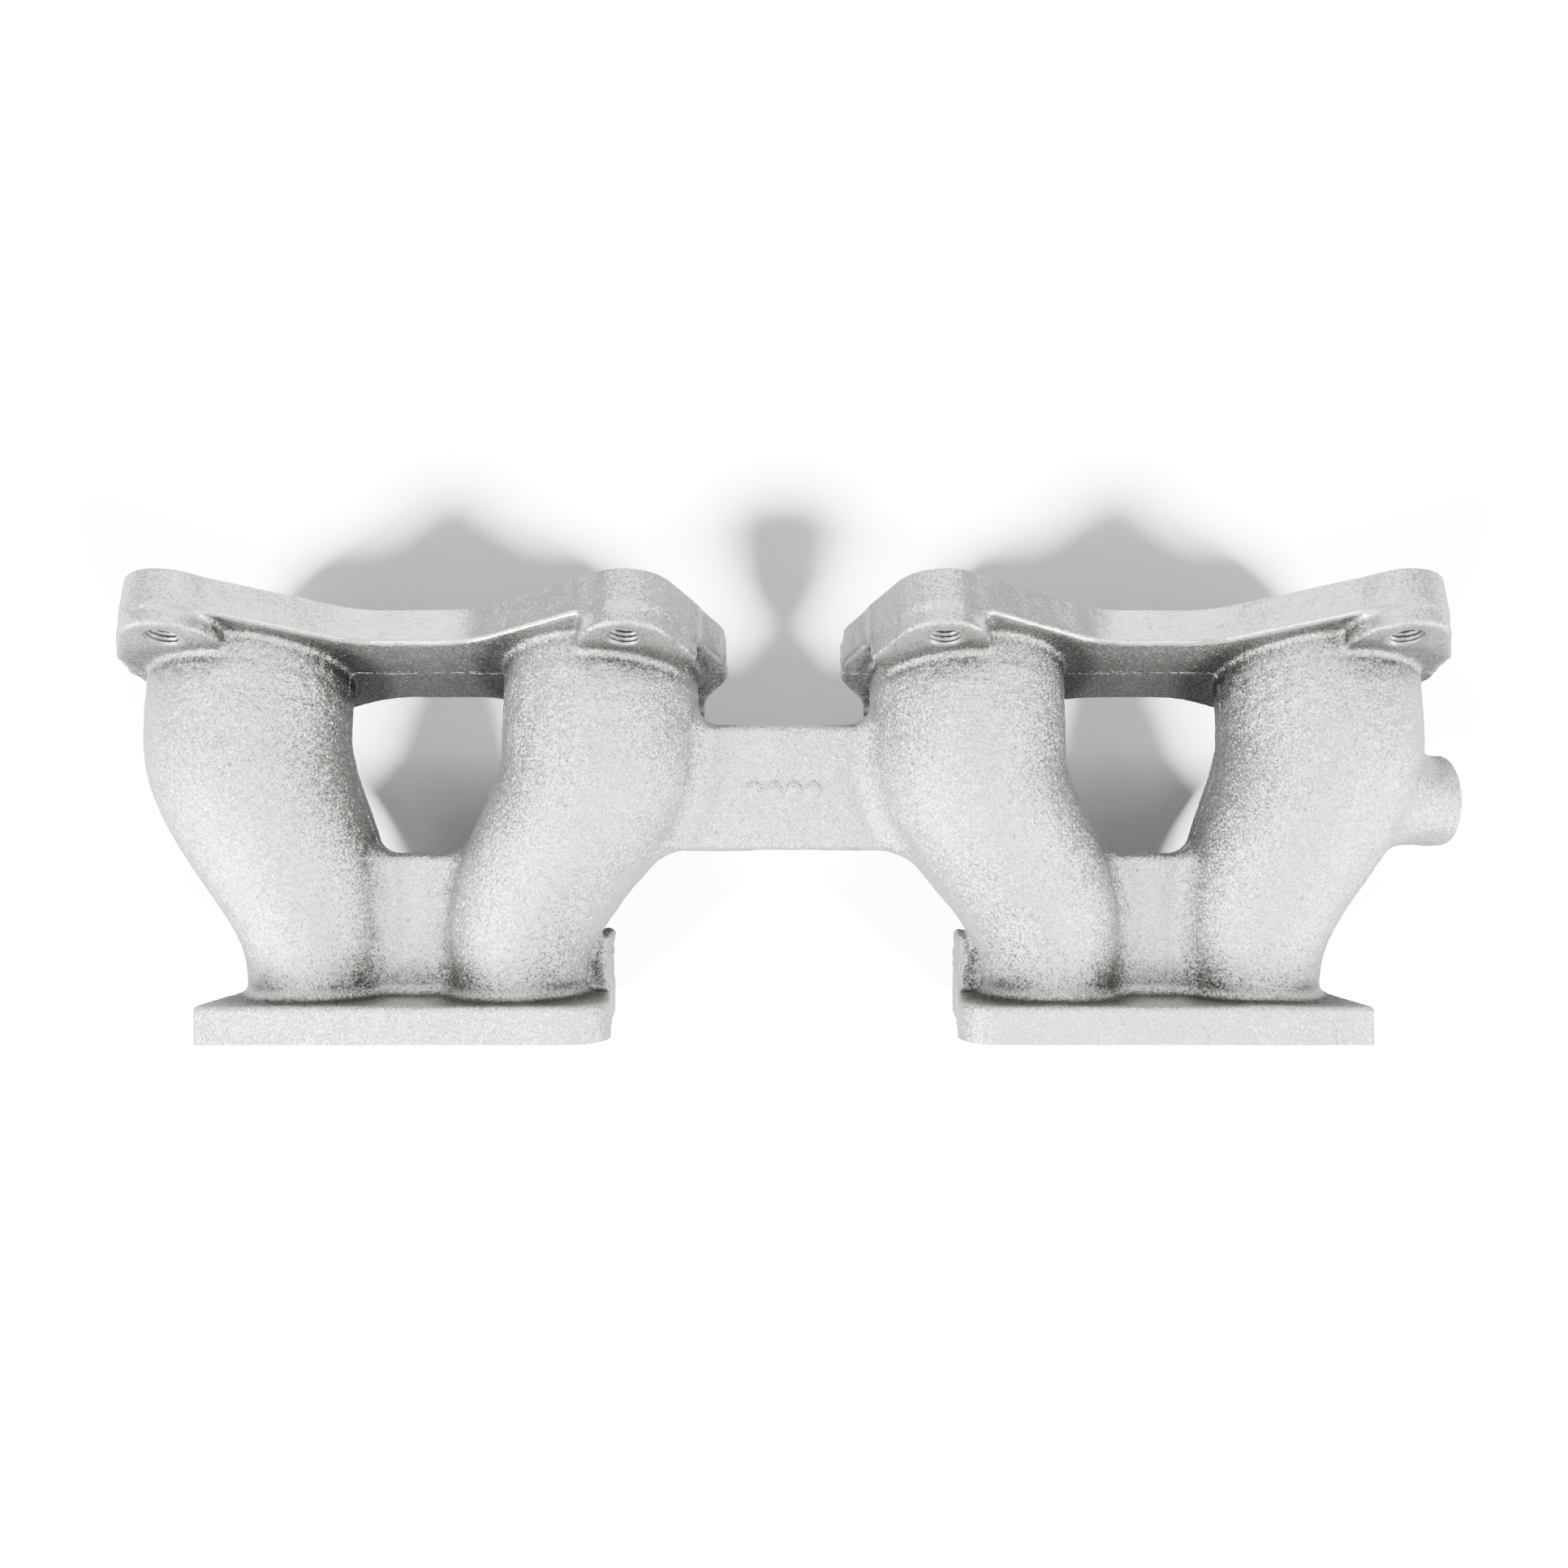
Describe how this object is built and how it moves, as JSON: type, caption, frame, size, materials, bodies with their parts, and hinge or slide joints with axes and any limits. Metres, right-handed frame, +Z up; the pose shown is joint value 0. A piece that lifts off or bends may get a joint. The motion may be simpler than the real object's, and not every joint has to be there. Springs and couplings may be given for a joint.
{
  "type": "twin carburettor intake manifold",
  "caption": "Bare cast aluminium intake manifold that joins two twin-choke side-draught carburettors to a four-cylinder head through S-shaped runners.",
  "frame": {"origin": "bottom centre of the bounding box", "axes": "+X along the engine, +Y from the head face towards the carburettors, +Z up, away from the surface that the part lies on"},
  "size_m": [0.338, 0.1128, 0.0762],
  "materials": {
    "blasted_cast_aluminium": "blasted sand casting, fine grain",
    "linished_cast_aluminium": "blasted, edges linished, gasket face machined",
    "flange_cast_aluminium": "blasted, gasket face machined",
    "rough_cast_aluminium": "broken gate surface, coarse and sparkling"
  },
  "bodies": {
    "root": {"bridge_web": "blasted_cast_aluminium", "carb_flange_left": "linished_cast_aluminium", "carb_flange_right": "linished_cast_aluminium", "ear_pad_left_lower_inner": "linished_cast_aluminium", "ear_pad_left_lower_outer": "linished_cast_aluminium", "ear_pad_left_upper_inner": "linished_cast_aluminium", "ear_pad_left_upper_outer": "linished_cast_aluminium", "ear_pad_right_lower_inner": "linished_cast_aluminium", "ear_pad_right_lower_outer": "linished_cast_aluminium", "ear_pad_right_upper_inner": "linished_cast_aluminium", "ear_pad_right_upper_outer": "linished_cast_aluminium", "flange_lug_left": "rough_cast_aluminium", "flange_lug_right": "rough_cast_aluminium", "head_flange_left": "flange_cast_aluminium", "head_flange_right": "flange_cast_aluminium", "runner_1": "blasted_cast_aluminium", "runner_2": "blasted_cast_aluminium", "runner_3": "blasted_cast_aluminium", "runner_4": "blasted_cast_aluminium", "runner_web_left": "blasted_cast_aluminium", "runner_web_right": "blasted_cast_aluminium", "takeoff_stub": "blasted_cast_aluminium"}
  },
  "joints": []
}
